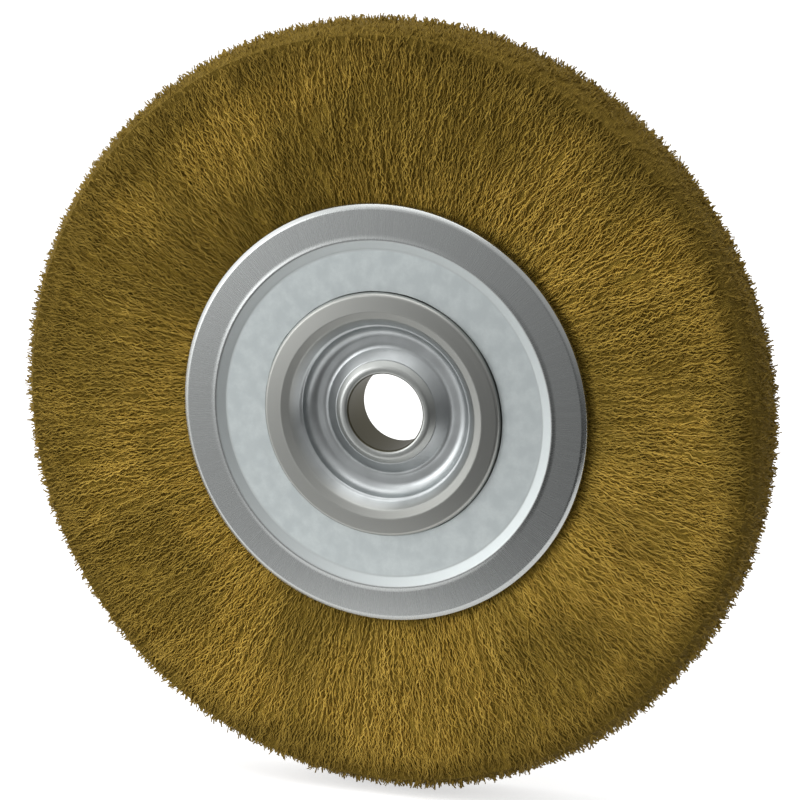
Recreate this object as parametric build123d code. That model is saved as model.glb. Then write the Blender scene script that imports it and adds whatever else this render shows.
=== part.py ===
"""Crimped-wire wheel brush with a pressed-steel hub, as fitted to a bench grinder's spindle.

Frame: the wheel's axis is Y, the front face looks towards -Y, +Z is up and the origin is the centre
of the wheel on its mid-plane. All sizes are in millimetres. Profiles are drawn as (radius, height),
where height is the distance from the mid-plane, so one profile serves the rear (+Y) and, mirrored,
the front (-Y).
"""

from build123d import *

import os

# Whole wheel
brush_diameter = 203.2
brush_face_width = 22.0
hub_width = 18.0
bore_diameter = 20.0

# Arbor tube
tube_wall = 1.4
lip_overhang = 2.0
lip_height = 1.1
lip_crest_width = 1.9
lip_edge_thickness = 0.3
shoulder_width = 2.0

# Hub cup, from the tube outwards
cup_thickness = 1.5
neck_land = 0.2
boss_run = 3.0
boss_rise = 2.15
cove_run = 1.0
cove_rise = 0.4
floor_width = 4.1
floor_fall = 0.15
lower_wall_run = 0.6
lower_wall_rise = 2.9
ledge_run = 0.7
ledge_rise = 0.4
upper_wall_run = 2.0
upper_wall_rise = 2.5
bevel_run = 1.9
bevel_rise = 0.9
land_width = 4.8
land_rise = 2.0

# Side plate, from its centre hole outwards
plate_thickness = 1.2
annulus_width = 10.8
step_run = 2.4
step_depth = 1.2
band_width = 8.0
band_fall = 0.5
rim_run = 1.1
rim_fall = 0.7

# Wires and the rings that hold them
bundles_per_row = 12
ring_wire_diameter = 3.2
shoulder_run = 11.5
shoulder_drop = 1.1
crown_radius = 25.0

# Clearances
slide_gap = 0.1
seat_gap = 0.3

# Bend and edge radii
step_bend = 1.6
land_corner = 1.1
cove_bend = 1.5
floor_bend = 1.5
rim_edge_round = 0.25
lip_round = 0.9
lip_crest_round = 2.0
wire_bend = 4.0
tip_edge_round = 3.0

# Radii that follow from the sizes above
bore_radius = bore_diameter / 2
tube_radius = bore_radius + tube_wall
shoulder_radius = tube_radius + shoulder_width
lip_radius = tube_radius + lip_overhang
lip_crest_radius = bore_radius + lip_crest_width
cup_hole_radius = tube_radius + slide_gap
neck_radius = lip_radius + neck_land
cove_radius = neck_radius + boss_run
ridge_radius = cove_radius + cove_run
floor_radius = ridge_radius + floor_width
ledge_inner_radius = floor_radius + lower_wall_run
ledge_outer_radius = ledge_inner_radius + ledge_run
bevel_radius = ledge_outer_radius + upper_wall_run
land_inner_radius = bevel_radius + bevel_run
land_outer_radius = land_inner_radius + land_width
plate_hole_radius = land_outer_radius + seat_gap
step_inner_radius = plate_hole_radius + annulus_width
step_outer_radius = step_inner_radius + step_run
band_outer_radius = step_outer_radius + band_width
rim_radius = band_outer_radius + rim_run
brush_radius = brush_diameter / 2

# Heights from the mid-plane that follow from the sizes above
band_outer_height = hub_width / 2
crest_height = band_outer_height + band_fall
annulus_height = crest_height - step_depth
rim_height = band_outer_height - rim_fall
brim_height = annulus_height - plate_thickness
land_height = annulus_height + land_rise
bevel_height = land_height - bevel_rise
ledge_outer_height = bevel_height - upper_wall_rise
ledge_inner_height = ledge_outer_height - ledge_rise
floor_height = ledge_inner_height - lower_wall_rise
ridge_height = floor_height + floor_fall
cove_height = ridge_height - cove_rise
neck_height = cove_height + boss_rise
shoulder_height = neck_height - cup_thickness
lip_top_height = neck_height + lip_height
lip_edge_height = neck_height + lip_edge_thickness

# The folded wires fill the room between the mid-plane and the side plate
waist_height = min(rim_height - plate_thickness, brim_height) - seat_gap
fold_radius = waist_height / 2
ring_radius = (step_inner_radius + step_outer_radius) / 2
brim_radius = ring_radius - fold_radius - seat_gap
eye_radius = ring_wire_diameter / 2 + seat_gap
bundle_angle = 360 / bundles_per_row


def closed_face(corners):
    """A face from (radius, height, bend radius) corners, in order round the outline."""
    points = [(radius, height) for radius, height, bend in corners]
    bends = [bend for radius, height, bend in corners]
    return make_face(FilletPolyline(*points, radius=bends, close=True))


def turned(profile):
    """The solid that the rear half's profile makes when it is turned round the wheel's axis."""
    return revolve(profile, axis=Axis.Y)


def side_plate():
    """Pressed ring: flat annulus, S-shaped step up to the band, and a rim turned down on the wires."""
    outer_bend = step_bend + plate_thickness
    outer_face = [
        (plate_hole_radius, annulus_height, 0),
        (step_inner_radius, annulus_height, step_bend),
        (step_outer_radius, crest_height, outer_bend),
        (band_outer_radius, band_outer_height, rim_run / 2),
        (rim_radius, rim_height, rim_edge_round),
    ]
    inner_face = [
        (rim_radius, rim_height - plate_thickness, 0),
        (band_outer_radius, band_outer_height - plate_thickness, 0),
        (step_outer_radius, crest_height - plate_thickness, step_bend),
        (step_inner_radius, brim_height, outer_bend),
        (plate_hole_radius, brim_height, 0),
    ]
    return turned(closed_face(outer_face + inner_face))


def hub_cup():
    """Drawn cup: boss round the bore, bowl floor, stepped wall, bevel, raised land and the brim."""
    wall_radius = land_outer_radius - cup_thickness
    under_land = land_height - cup_thickness
    under_floor = cove_height - cup_thickness
    recess_face = [
        (cup_hole_radius, neck_height, 0),
        (neck_radius, neck_height, neck_land),
        (cove_radius, cove_height, cove_bend),
        (ridge_radius, ridge_height, 0),
        (floor_radius, floor_height, floor_bend),
        (ledge_inner_radius, ledge_inner_height, 0),
        (ledge_outer_radius, ledge_outer_height, 0),
        (bevel_radius, bevel_height, 0),
    ]
    land_and_brim = [
        (land_inner_radius, land_height, 0),
        (land_outer_radius, land_height, 0),
        (land_outer_radius, brim_height, 0),
        (brim_radius, brim_height, 0),
        (brim_radius, brim_height - cup_thickness, 0),
        (wall_radius, brim_height - cup_thickness, 0),
        (wall_radius, under_land, 0),
        (land_inner_radius, under_land, 0),
    ]
    recess_back = [
        (ledge_outer_radius + cup_thickness, ledge_outer_height - cup_thickness, 0),
        (floor_radius + cup_thickness, under_floor, 0),
        (cove_radius, under_floor, 0),
        (neck_radius, shoulder_height, 0),
        (cup_hole_radius, shoulder_height, 0),
    ]
    cup = turned(closed_face(recess_face + land_and_brim + recess_back))
    land_edges = cup.edges().filter_by_position(Axis.Y, land_height, land_height)
    return fillet(land_edges, land_corner)


def arbor_tube():
    """Tube that is the bore: a shoulder spaces the cups and both ends are rolled out over them."""
    one_end = [
        (bore_radius, lip_top_height, lip_round),
        (lip_crest_radius, lip_top_height, lip_crest_round),
        (lip_radius, lip_edge_height, 0),
        (lip_radius, neck_height, 0),
        (tube_radius, neck_height, 0),
        (tube_radius, shoulder_height, 0),
        (shoulder_radius, shoulder_height, 0),
    ]
    other_end = [(radius, -height, bend) for radius, height, bend in reversed(one_end)]
    return turned(closed_face(one_end + other_end))


def retaining_ring():
    """Round steel ring that a row of wires is folded over."""
    return turned(Pos(ring_radius, fold_radius) * Circle(ring_wire_diameter / 2))


def row_profile():
    """Section of one row: the fold round its ring, the waist under the rim, the fan and the crown."""
    half_width = brush_face_width / 2
    crown_centre = brush_radius - crown_radius
    crown_corner = (crown_centre + (crown_radius**2 - half_width**2) ** 0.5, half_width)
    tip = (brush_radius, 0)
    flank = FilletPolyline(
        (ring_radius, waist_height),
        (rim_radius, waist_height),
        (rim_radius + shoulder_run, half_width - shoulder_drop),
        crown_corner,
        radius=wire_bend,
    )
    crown = RadiusArc(crown_corner, tip, crown_radius)
    mid_plane = Polyline(tip, (ring_radius, 0), (ring_radius, waist_height))
    fan = make_face(flank.edges() + crown.edges() + mid_plane.edges())
    crown_vertex = fan.vertices().sort_by_distance(crown_corner)[0]
    fan = fillet(crown_vertex, tip_edge_round)
    fold = Pos(ring_radius, fold_radius) * Circle(fold_radius)
    eye = Pos(ring_radius, fold_radius) * Circle(eye_radius)
    return fan + fold - eye


def wire_bundle(profile, number, turn):
    """One bundle of folded wires: its row's section swept through its share of the circle."""
    bundle = revolve(profile, axis=Axis.Y, revolution_arc=bundle_angle)
    return Rot(0, number * bundle_angle + turn, 0) * bundle


def front(rear_part):
    """The front half's copy of a rear part, facing the other way."""
    return mirror(rear_part, about=Plane.XZ)


def build_parts():
    """Every piece of the wheel by its node's name."""
    pieces = {
        "side_plate": side_plate(),
        "hub_cup": hub_cup(),
        "retaining_ring": retaining_ring(),
    }
    parts = {"arbor_tube": arbor_tube()}
    for name, piece in pieces.items():
        parts["rear_" + name] = piece
        parts["front_" + name] = front(piece)
    profile = row_profile()
    for number in range(bundles_per_row):
        label = f"wires_{number + 1:02d}"
        parts["rear_" + label] = wire_bundle(profile, number, 0)
        parts["front_" + label] = front(wire_bundle(profile, number, bundle_angle / 2))
    return parts


os.makedirs("parts", exist_ok=True)
for node, part in build_parts().items():
    export_step(part, f"parts/{node}.step")
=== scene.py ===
"""Crimped-wire wheel brush for a bench grinder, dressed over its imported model.

Each sub-assembly is a class. It holds its sizes as fields, in metres unless a name says otherwise,
builds its meshes and gives them their finish. The wheel's axis is Y, its front face looks towards
-Y and +Z is up. Heights are measured from the wheel's mid-plane, outwards on either side.
"""

import logging
import math
from dataclasses import dataclass, field
from enum import Enum

import bpy
import numpy as np
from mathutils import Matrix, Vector


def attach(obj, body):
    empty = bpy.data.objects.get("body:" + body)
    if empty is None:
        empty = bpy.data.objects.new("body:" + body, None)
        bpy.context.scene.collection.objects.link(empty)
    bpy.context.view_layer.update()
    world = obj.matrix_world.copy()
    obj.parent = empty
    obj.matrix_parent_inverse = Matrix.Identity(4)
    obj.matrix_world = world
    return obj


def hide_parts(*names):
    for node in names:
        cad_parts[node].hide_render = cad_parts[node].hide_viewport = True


logging.basicConfig(level=logging.INFO, format="%(name)s: %(message)s")
LOG = logging.getLogger("wheel_brush")

MM = 0.001
BODY = "root"
MERGE_DISTANCE = 1e-6
RING_TOLERANCE = 2e-5
RING_SEGMENTS = 256
SMOOTH_DEGREES = 40
SEED = 20
NOISE_SPAN = (0.35, 0.65)
PATCH_SPAN = (0.38, 0.62)
FULL = (0.0, 1.0)

Colour = tuple[float, float, float]

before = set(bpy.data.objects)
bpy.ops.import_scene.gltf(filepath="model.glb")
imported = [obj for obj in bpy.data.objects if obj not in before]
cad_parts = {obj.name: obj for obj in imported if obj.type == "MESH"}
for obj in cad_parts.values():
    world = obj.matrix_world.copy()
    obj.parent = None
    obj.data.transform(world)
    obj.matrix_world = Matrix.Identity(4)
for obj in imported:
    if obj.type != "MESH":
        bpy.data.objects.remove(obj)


class Side(Enum):
    """The half of the wheel that a piece belongs to; the value is the sign of its Y."""

    FRONT = -1
    REAR = 1

    @property
    def word(self) -> str:
        """The side's name as the nodes use it."""
        return self.name.lower()


@dataclass(frozen=True)
class Corner:
    """One corner of a turned outline.

    Attributes:
        radius: Distance from the wheel's axis.
        height: Distance from the mid-plane.
        ease: Length of outline that the rounding takes up on each side of the corner.
        steps: Number of faces across the rounding.
    """

    radius: float
    height: float
    ease: float = 0.0
    steps: int = 3


# ---------------------------------------------------------------------------------------------
# Mesh helpers
# ---------------------------------------------------------------------------------------------


def deselect_all() -> None:
    """Leave object mode's selection empty."""
    bpy.ops.object.select_all(action="DESELECT")


def vertex_array(piece: bpy.types.Object) -> np.ndarray:
    """The piece's vertex positions as an (n, 3) array."""
    flat = np.zeros(len(piece.data.vertices) * 3, np.float32)
    piece.data.vertices.foreach_get("co", flat)
    return flat.reshape(-1, 3).astype(float)


def move_vertices(piece: bpy.types.Object, places: np.ndarray) -> None:
    """Give the piece's vertices new positions from an (n, 3) array."""
    piece.data.vertices.foreach_set("co", places.astype(np.float32).ravel())
    piece.data.update()


def select_ring(piece: bpy.types.Object, radius: float, along_y: float) -> None:
    """Select the ring of vertices at one radius and one Y, in edit mode.

    Args:
        piece: The turned piece, in edit mode.
        radius: The ring's distance from the axis.
        along_y: The ring's signed Y.
    """
    bpy.ops.mesh.select_mode(type="VERT")
    bpy.ops.mesh.select_all(action="DESELECT")
    bpy.ops.object.mode_set(mode="OBJECT")
    places = vertex_array(piece)
    off_radius = np.abs(np.hypot(places[:, 0], places[:, 2]) - radius)
    off_height = np.abs(places[:, 1] - along_y)
    chosen = (off_radius < RING_TOLERANCE) & (off_height < RING_TOLERANCE)
    piece.data.vertices.foreach_set("select", chosen)
    bpy.ops.object.mode_set(mode="EDIT")
    bpy.ops.mesh.select_mode(type="EDGE")


def turned_piece(name: str, corners: list[Corner], side: Side, segments: int) -> bpy.types.Object:
    """Model a ring-shaped piece by extruding a circle round its outline and bevelling the corners.

    Args:
        name: Name of the new object.
        corners: The closed outline, in order.
        side: Which half of the wheel the piece is on.
        segments: Number of vertices round each ring.

    Returns:
        The closed piece.
    """
    deselect_all()
    sign = side.value
    first = corners[0]
    bpy.ops.mesh.primitive_circle_add(
        vertices=segments,
        radius=first.radius,
        fill_type="NOTHING",
        location=(0, sign * first.height, 0),
        rotation=(math.radians(90), 0, 0),
    )
    piece = bpy.context.object
    piece.name = name
    bpy.ops.object.transform_apply(location=True, rotation=True, scale=True)
    bpy.ops.object.mode_set(mode="EDIT")
    bpy.ops.mesh.select_mode(type="VERT")
    bpy.ops.mesh.select_all(action="SELECT")
    for before, after in zip(corners, corners[1:] + corners[:1]):
        rise = sign * (after.height - before.height)
        growth = after.radius / before.radius
        bpy.ops.mesh.extrude_region_move(TRANSFORM_OT_translate={"value": (0, rise, 0)})
        bpy.ops.transform.resize(value=(growth, 1, growth), center_override=(0, 0, 0))
    bpy.ops.mesh.select_all(action="SELECT")
    bpy.ops.mesh.remove_doubles(threshold=MERGE_DISTANCE)
    for corner in corners:
        if corner.ease > 0:
            select_ring(piece, corner.radius, sign * corner.height)
            bpy.ops.mesh.bevel(
                offset_type="ABSOLUTE", offset=corner.ease, segments=corner.steps, affect="EDGES"
            )
    bpy.ops.mesh.select_all(action="SELECT")
    bpy.ops.mesh.normals_make_consistent(inside=False)
    bpy.ops.object.mode_set(mode="OBJECT")
    return piece


def mesh_from_arrays(name: str, points: np.ndarray, faces: np.ndarray) -> bpy.types.Object:
    """Make an object from arrays of points and of equally sided faces.

    Args:
        name: Name of the new object.
        points: (n, 3) positions.
        faces: (m, k) vertex numbers, k to a face.

    Returns:
        The new object, linked to the scene.
    """
    mesh = bpy.data.meshes.new(name)
    sides = faces.shape[1]
    mesh.vertices.add(len(points))
    mesh.vertices.foreach_set("co", points.astype(np.float32).ravel())
    mesh.loops.add(faces.size)
    mesh.loops.foreach_set("vertex_index", faces.astype(np.int32).ravel())
    mesh.polygons.add(len(faces))
    mesh.polygons.foreach_set("loop_start", np.arange(0, faces.size, sides, dtype=np.int32))
    mesh.polygons.foreach_set("use_smooth", np.ones(len(faces), dtype=bool))
    mesh.update(calc_edges=True)
    mesh.validate()
    piece = bpy.data.objects.new(name, mesh)
    bpy.context.scene.collection.objects.link(piece)
    return piece


# ---------------------------------------------------------------------------------------------
# Shader helpers and shared node groups
# ---------------------------------------------------------------------------------------------


def add_node(tree: bpy.types.NodeTree, kind: str, **settings: object) -> bpy.types.Node:
    """Add a node.

    Args:
        tree: The node tree to add to.
        kind: The node's type.
        settings: Properties to set on it.

    Returns:
        The node.
    """
    node = tree.nodes.new(kind)
    for name, value in settings.items():
        setattr(node, name, value)
    return node


def add_math(
    tree: bpy.types.NodeTree, operation: str, first: object, second: object = 0.0
) -> bpy.types.NodeSocket:
    """Add a math node.

    Args:
        tree: The node tree to add to.
        operation: What the node does.
        first: The first input, a socket or a number.
        second: The second input, a socket or a number.

    Returns:
        The node's output.
    """
    node = add_node(tree, "ShaderNodeMath", operation=operation)
    for number, value in enumerate((first, second)):
        if isinstance(value, bpy.types.NodeSocket):
            tree.links.new(value, node.inputs[number])
        else:
            node.inputs[number].default_value = value
    return node.outputs["Value"]


def add_range(
    tree: bpy.types.NodeTree,
    value: bpy.types.NodeSocket,
    source: tuple[float, float],
    target: tuple[float, float],
) -> bpy.types.NodeSocket:
    """Map a value smoothly from one range onto another, without going outside it.

    Args:
        tree: The node tree to add to.
        value: The value.
        source: The range that it comes from.
        target: The range that it goes to.

    Returns:
        The mapped value.
    """
    node = add_node(tree, "ShaderNodeMapRange", interpolation_type="SMOOTHSTEP")
    tree.links.new(value, node.inputs["Value"])
    node.inputs["From Min"].default_value, node.inputs["From Max"].default_value = source
    node.inputs["To Min"].default_value, node.inputs["To Max"].default_value = target
    return node.outputs["Result"]


def add_mix(
    tree: bpy.types.NodeTree, mask: bpy.types.NodeSocket, low: object, high: object
) -> bpy.types.NodeSocket:
    """Mix two colours by a mask.

    Args:
        tree: The node tree to add to.
        mask: How much of the second colour shows.
        low: The first colour, a socket or a triple.
        high: The second colour, a socket or a triple.

    Returns:
        The mixed colour.
    """
    node = add_node(tree, "ShaderNodeMix", data_type="RGBA")
    tree.links.new(mask, node.inputs["Factor"])
    for name, value in (("A", low), ("B", high)):
        socket = next(s for s in node.inputs if s.name == name and s.type == "RGBA")
        if isinstance(value, bpy.types.NodeSocket):
            tree.links.new(value, socket)
        else:
            socket.default_value = (*value, 1.0)
    return next(s for s in node.outputs if s.type == "RGBA")


def new_group(name: str, inputs: dict[str, object], outputs: list[str]) -> bpy.types.NodeTree:
    """Make a shader node group with float or vector inputs and float outputs.

    Args:
        name: Name of the group.
        inputs: Each input's name and default; a tuple makes a vector socket.
        outputs: Names of the outputs.

    Returns:
        The group, holding only its input and output nodes.
    """
    group = bpy.data.node_groups.new(name, "ShaderNodeTree")
    for label, value in inputs.items():
        is_vector = isinstance(value, tuple)
        kind = "NodeSocketVector" if is_vector else "NodeSocketFloat"
        socket = group.interface.new_socket(name=label, in_out="INPUT", socket_type=kind)
        socket.default_value = value
    for label in outputs:
        group.interface.new_socket(name=label, in_out="OUTPUT", socket_type="NodeSocketFloat")
    add_node(group, "NodeGroupInput", name="into")
    add_node(group, "NodeGroupOutput", name="out")
    return group


def polar(tree: bpy.types.NodeTree, vector: bpy.types.NodeSocket) -> tuple[bpy.types.NodeSocket, ...]:
    """Split a position up by the wheel's axis.

    Args:
        tree: The node tree to add to.
        vector: The position.

    Returns:
        Its angle round the axis, its radius and its Y.
    """
    parts = add_node(tree, "ShaderNodeSeparateXYZ")
    tree.links.new(vector, parts.inputs["Vector"])
    across, along, up = parts.outputs
    angle = add_math(tree, "ARCTAN2", up, across)
    squares = [add_math(tree, "MULTIPLY", part, part) for part in (across, up)]
    return angle, add_math(tree, "SQRT", add_math(tree, "ADD", *squares)), along


def object_radius(tree: bpy.types.NodeTree) -> bpy.types.NodeSocket:
    """Distance of the surface from the wheel's axis."""
    return polar(tree, add_node(tree, "ShaderNodeTexCoord").outputs["Object"])[1]


def add_noise(
    tree: bpy.types.NodeTree, vector: bpy.types.NodeSocket, detail: float, scale: object
) -> bpy.types.Node:
    """Add a noise texture.

    Args:
        tree: The node tree to add to.
        vector: The position that it reads.
        detail: Its number of octaves.
        scale: Its scale, a socket or a number.

    Returns:
        The node.
    """
    noise = add_node(tree, "ShaderNodeTexNoise")
    noise.inputs["Detail"].default_value = detail
    tree.links.new(vector, noise.inputs["Vector"])
    if isinstance(scale, bpy.types.NodeSocket):
        tree.links.new(scale, noise.inputs["Scale"])
    else:
        noise.inputs["Scale"].default_value = scale
    return noise


def grain_group() -> bpy.types.NodeTree:
    """Cloudy grain for plated metal: a broad mask and a fine one."""
    group = new_group(
        "plated_grain", {"Vector": (0.0, 0.0, 0.0), "Broad": 60.0, "Fine": 1400.0}, ["Cloud", "Speckle"]
    )
    source, out = group.nodes["into"].outputs, group.nodes["out"].inputs
    for scale, detail, label in (("Broad", 4.0, "Cloud"), ("Fine", 3.0, "Speckle")):
        noise = add_noise(group, source["Vector"], detail, source[scale])
        group.links.new(add_range(group, noise.outputs["Fac"], NOISE_SPAN, FULL), out[label])
    return group


def turning_group() -> bpy.types.NodeTree:
    """Fine rings round the wheel's axis, as a lathe or a press tool leaves them."""
    group = new_group("turning_marks", {"Vector": (0.0, 0.0, 0.0), "Rings": 4000.0}, ["Mask"])
    source, out = group.nodes["into"].outputs, group.nodes["out"].inputs
    angle, radius, along = polar(group, source["Vector"])
    place = add_node(group, "ShaderNodeCombineXYZ")
    group.links.new(add_math(group, "MULTIPLY", radius, source["Rings"]), place.inputs["X"])
    group.links.new(add_math(group, "MULTIPLY", along, source["Rings"]), place.inputs["Y"])
    group.links.new(add_math(group, "SINE", angle), place.inputs["Z"])
    noise = add_noise(group, place.outputs["Vector"], 2.0, 1.0)
    group.links.new(noise.outputs["Fac"], out["Mask"])
    return group


def strand_group() -> bpy.types.NodeTree:
    """Streaks that run out from the axis, broken up along their length as crimped wires are."""
    group = new_group(
        "radial_strands",
        {"Vector": (0.0, 0.0, 0.0), "Strands": 240.0, "Along": 500.0, "Patches": 70.0},
        ["Streak", "Patch"],
    )
    source, out = group.nodes["into"].outputs, group.nodes["out"].inputs
    place = add_node(group, "ShaderNodeCombineXYZ")
    for part, scale, label in zip(polar(group, source["Vector"]), ("Strands", "Along", "Along"), "XYZ"):
        group.links.new(add_math(group, "MULTIPLY", part, source[scale]), place.inputs[label])
    streak = add_noise(group, place.outputs["Vector"], 3.0, 1.0)
    group.links.new(add_range(group, streak.outputs["Fac"], NOISE_SPAN, FULL), out["Streak"])
    patch = add_noise(group, source["Vector"], 3.0, source["Patches"])
    group.links.new(add_range(group, patch.outputs["Fac"], PATCH_SPAN, FULL), out["Patch"])
    return group


class Effects:
    """The shared node groups, each built once on first use."""

    makers = {"grain": grain_group, "turning": turning_group, "strands": strand_group}
    built: dict[str, bpy.types.NodeTree] = {}

    @classmethod
    def place(cls, tree: bpy.types.NodeTree, effect: str, **values: float) -> bpy.types.Node:
        """Put a shared effect into a material, fed with Object coordinates.

        Args:
            tree: The material's node tree.
            effect: Name of the effect.
            values: The effect's float inputs.

        Returns:
            The group node.
        """
        if effect not in cls.built:
            cls.built[effect] = cls.makers[effect]()
        node = add_node(tree, "ShaderNodeGroup", node_tree=cls.built[effect])
        coordinates = add_node(tree, "ShaderNodeTexCoord")
        tree.links.new(coordinates.outputs["Object"], node.inputs["Vector"])
        for name, value in values.items():
            node.inputs[name].default_value = value
        return node


def new_material(name: str) -> tuple[bpy.types.Material, bpy.types.NodeTree, bpy.types.Node]:
    """Make a node material.

    Args:
        name: The material's name.

    Returns:
        The material, its node tree and its Principled shader.
    """
    material = bpy.data.materials.new(name)
    material.use_nodes = True
    tree = material.node_tree
    return material, tree, tree.nodes["Principled BSDF"]


def add_sight(tree: bpy.types.NodeTree, share: object) -> bpy.types.NodeSocket:
    """Mask of the rays that see the backdrop.

    Args:
        tree: The node tree to add to.
        share: How much of it the rays see that metal mirrors or glass lets by, a socket or a number.

    Returns:
        The mask, which is full for the camera's own rays.
    """
    seen = add_node(tree, "ShaderNodeLightPath")
    indirect = add_math(tree, "MAXIMUM", seen.outputs["Is Glossy Ray"], seen.outputs["Is Transmission Ray"])
    indirect = add_math(tree, "MULTIPLY", indirect, share)
    return add_math(tree, "MAXIMUM", indirect, seen.outputs["Is Camera Ray"])


def add_wander(
    tree: bpy.types.NodeTree, level: object, mask: bpy.types.NodeSocket, depth: float
) -> bpy.types.NodeSocket:
    """Let a level wander round its own value.

    Args:
        tree: The node tree to add to.
        level: The level, a socket or a number.
        mask: What it wanders with, from 0 to 1.
        depth: How far it wanders in all.

    Returns:
        The wandering level.
    """
    wander = add_math(tree, "MULTIPLY", add_math(tree, "SUBTRACT", mask, 0.5), depth)
    return add_math(tree, "ADD", wander, level)


def add_bump(
    tree: bpy.types.NodeTree, shader: bpy.types.Node, height: bpy.types.NodeSocket, depth: float
) -> None:
    """Feed a height into the shader's normal through a bump.

    Args:
        tree: The material's node tree.
        shader: The material's shader.
        height: The height, from 0 to 1.
        depth: What a height of 1 stands for.
    """
    bump = add_node(tree, "ShaderNodeBump")
    bump.inputs["Distance"].default_value = depth
    tree.links.new(height, bump.inputs["Height"])
    tree.links.new(bump.outputs["Normal"], shader.inputs["Normal"])


# ---------------------------------------------------------------------------------------------
# Finishes
# ---------------------------------------------------------------------------------------------


@dataclass(frozen=True)
class PlatedSheet:
    """Zinc plating on pressed sheet: frosty in the middle, smoother and darker on the rim band.

    Attributes:
        frosty: Colour of the flat annulus.
        clouded: Colour of its clouds and speckles.
        step: Colour of the step up to the band.
        band: Colour of the band.
        frosty_roughness: Roughness of the annulus.
        step_roughness: Roughness of the step.
        band_roughness: Roughness of the band.
        step_spans: Radii where the step's finish starts and ends.
        step_fades: Lengths over which it fades in and out.
        band_spans: Radii between which the annulus's finish turns into the band's.
        speckles: Share of the clouded colour in a speckle.
        grain_depth: Depth of the annulus's grain.
        band_grain: Share of that depth that is left on the band.
        rub_depth: How far the roughness wanders along the rubs.
    """

    frosty: Colour = (0.62, 0.668, 0.668)
    clouded: Colour = (0.54, 0.587, 0.592)
    step: Colour = (0.53, 0.565, 0.565)
    band: Colour = (0.43, 0.445, 0.44)
    frosty_roughness: float = 0.52
    step_roughness: float = 0.58
    band_roughness: float = 0.26
    step_spans: tuple[float, float] = (42.1 * MM, 45.4 * MM)
    step_fades: tuple[float, float] = (0.5 * MM, 0.7 * MM)
    band_spans: tuple[float, float] = (42.6 * MM, 44.2 * MM)
    speckles: float = 0.30
    grain_depth: float = 0.006 * MM
    band_grain: float = 0.02
    rub_depth: float = 0.035

    def build(self) -> bpy.types.Material:
        """Make the material."""
        material, tree, shader = new_material("zinc_plated_sheet")
        shader.inputs["Metallic"].default_value = 1.0
        grain = Effects.place(tree, "grain", Broad=240.0, Fine=1300.0).outputs
        rubs = Effects.place(tree, "strands", Strands=420.0, Along=70.0, Patches=90.0).outputs
        radius = object_radius(tree)
        on_band = add_range(tree, radius, self.band_spans, FULL)
        starts, ends = self.step_spans
        rises = add_range(tree, radius, (starts, starts + self.step_fades[0]), FULL)
        falls = add_range(tree, radius, (ends - self.step_fades[1], ends), FULL[::-1])
        on_step = add_math(tree, "MULTIPLY", rises, falls)

        sheet = add_mix(tree, grain["Cloud"], self.frosty, self.clouded)
        speckled = add_math(tree, "MULTIPLY", grain["Speckle"], self.speckles)
        sheet = add_mix(tree, speckled, sheet, self.clouded)
        sheet = add_mix(tree, on_step, add_mix(tree, on_band, sheet, self.band), self.step)
        tree.links.new(sheet, shader.inputs["Base Color"])

        rough = add_range(tree, on_band, FULL, (self.frosty_roughness, self.band_roughness))
        rougher = add_math(tree, "MULTIPLY", on_step, self.step_roughness - self.band_roughness)
        rough = add_math(tree, "MINIMUM", add_math(tree, "ADD", rough, rougher), self.step_roughness)
        rough = add_wander(tree, rough, rubs["Streak"], self.rub_depth)
        tree.links.new(rough, shader.inputs["Roughness"])

        calm = add_range(tree, on_band, FULL, (1.0, self.band_grain))
        add_bump(tree, shader, add_math(tree, "MULTIPLY", grain["Speckle"], calm), self.grain_depth)
        return material


@dataclass(frozen=True)
class DrawnSteel:
    """Plated drawn steel with fine turning rings, rubbed greyer beyond a given radius.

    Attributes:
        name: Name of the material.
        light: Colour of the plating.
        dark: Colour of its clouds.
        rubbed: Colour beyond the radius where the plating is rubbed.
        roughness: Roughness of the plating.
        rubbed_spans: Radii where the rubbed colour starts and where it is full.
        bevel_spans: Radii where the bevel starts and ends.
        bevel_fades: Lengths over which its roughness fades in and out.
        bevel_roughness: How much rougher the bevel is.
        wander: How far the roughness wanders from ring to ring.
        ring_depth: Depth of the turning rings.
    """

    name: str
    light: Colour
    dark: Colour
    rubbed: Colour
    roughness: float
    rubbed_spans: tuple[float, float] = (22.8 * MM, 25.5 * MM)
    bevel_spans: tuple[float, float] = (24.8 * MM, 26.9 * MM)
    bevel_fades: tuple[float, float] = (0.3 * MM, 0.5 * MM)
    bevel_roughness: float = 0.20
    wander: float = 0.10
    ring_depth: float = 0.003 * MM

    def build(self) -> bpy.types.Material:
        """Make the material."""
        material, tree, shader = new_material(self.name)
        shader.inputs["Metallic"].default_value = 1.0
        grain = Effects.place(tree, "grain", Broad=130.0, Fine=2200.0)
        turning = Effects.place(tree, "turning", Rings=3000.0)
        radius = object_radius(tree)
        colour = add_mix(tree, grain.outputs["Cloud"], self.light, self.dark)
        colour = add_mix(tree, add_range(tree, radius, self.rubbed_spans, FULL), colour, self.rubbed)
        tree.links.new(colour, shader.inputs["Base Color"])

        starts, ends = self.bevel_spans
        rises = add_range(tree, radius, (starts, starts + self.bevel_fades[0]), (0.0, self.bevel_roughness))
        falls = add_range(tree, radius, (ends, ends + self.bevel_fades[1]), FULL[::-1])
        rough = add_math(tree, "ADD", add_math(tree, "MULTIPLY", rises, falls), self.roughness)
        rough = add_wander(tree, rough, turning.outputs["Mask"], self.wander)
        tree.links.new(rough, shader.inputs["Roughness"])
        add_bump(tree, shader, turning.outputs["Mask"], self.ring_depth)
        return material


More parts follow.
